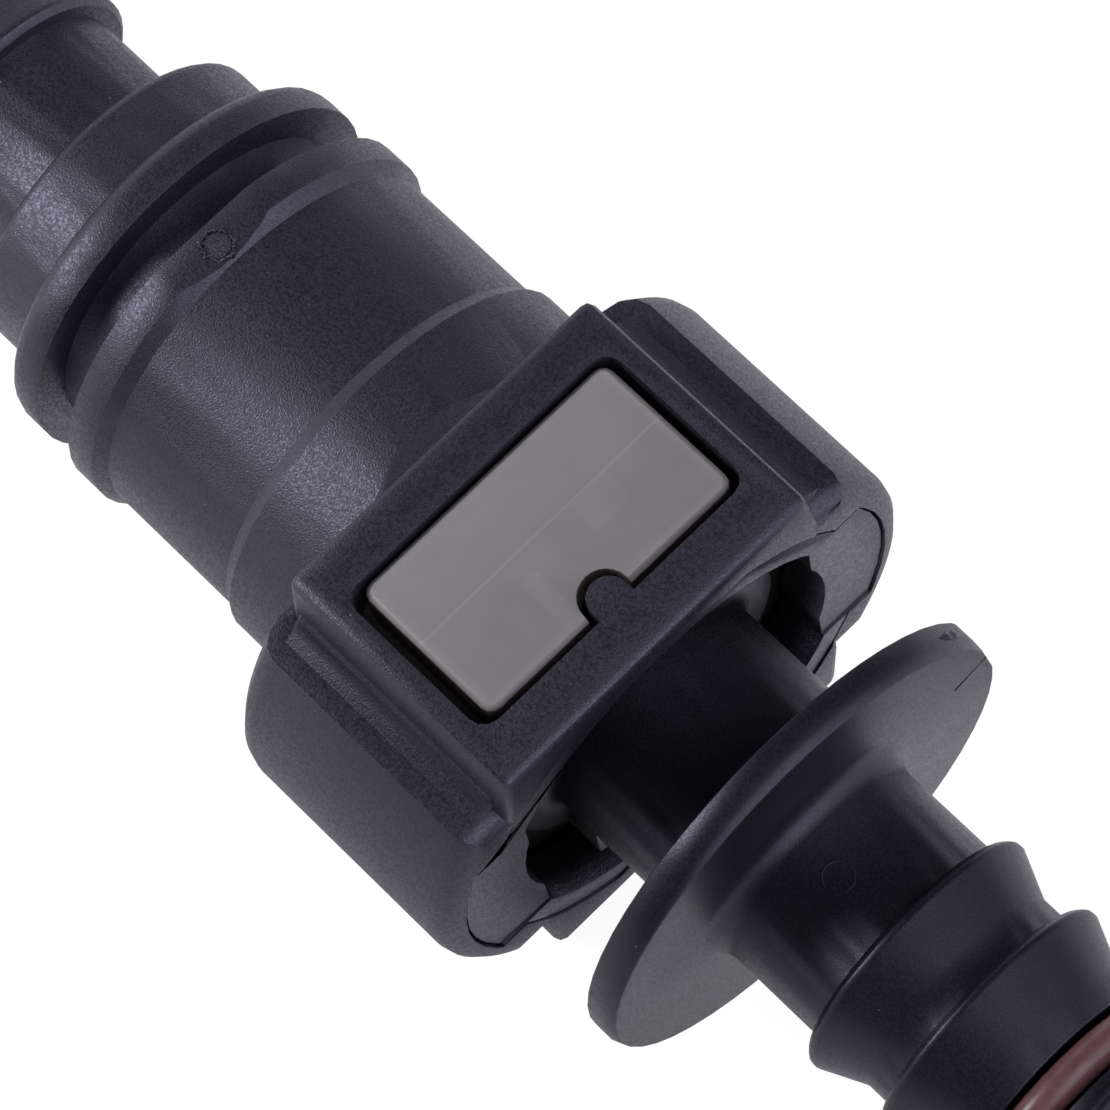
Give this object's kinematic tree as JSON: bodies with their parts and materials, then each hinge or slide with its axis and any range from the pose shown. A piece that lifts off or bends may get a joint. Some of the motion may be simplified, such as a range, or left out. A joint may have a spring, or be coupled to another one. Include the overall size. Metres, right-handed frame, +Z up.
{
  "type": "straight quick connector",
  "caption": "Straight quick connector for fluid hoses: a barbed plug with a catch bead and flange, latched in a barbed socket with a push-button retainer.",
  "frame": {"origin": "centre of the flat pad under the socket's head, on the surface it stands on", "axes": "+X along the flow axis towards the plug's hose end, +Z up through the push button, +Y across"},
  "size_m": [0.0924, 0.0284, 0.0242],
  "materials": {
    "socket_plastic": "fine grained black glass-filled nylon",
    "plug_plastic": "smooth black glass-filled nylon",
    "retainer_nylon": "light grey natural nylon, slightly translucent",
    "inner_plastic": "plain moulded nylon",
    "seal_rubber": "smooth black rubber",
    "tail_ring_rubber": "smooth maroon rubber"
  },
  "bodies": {
    "socket": {"housing": "socket_plastic", "front_insert": "socket_plastic", "seal_bush": "inner_plastic", "seal_spacer": "inner_plastic", "front_seal_ring": "seal_rubber", "rear_seal_ring": "seal_rubber", "socket_tail_ring": "tail_ring_rubber"},
    "button": {"retainer": "retainer_nylon"},
    "plug_slider": {"plug_tail_ring": "tail_ring_rubber"},
    "plug": {"plug": "plug_plastic"}
  },
  "joints": [
    {"name": "button_press", "type": "slide", "parent": "socket", "child": "button", "axis": [0, 0, -1], "range_m": [0, 0.00145], "stiffness_N_per_m": 4000},
    {"name": "plug_pull", "type": "slide", "parent": "socket", "child": "plug_slider", "axis": [1, 0, 0], "range_m": [0, 0.029], "deforming": ["retainer"]},
    {"name": "plug_swivel", "type": "hinge", "parent": "plug_slider", "child": "plug", "pos_m": [0.01475, 0, 0.0121], "axis": [1, 0, 0], "continuous": true}
  ]
}
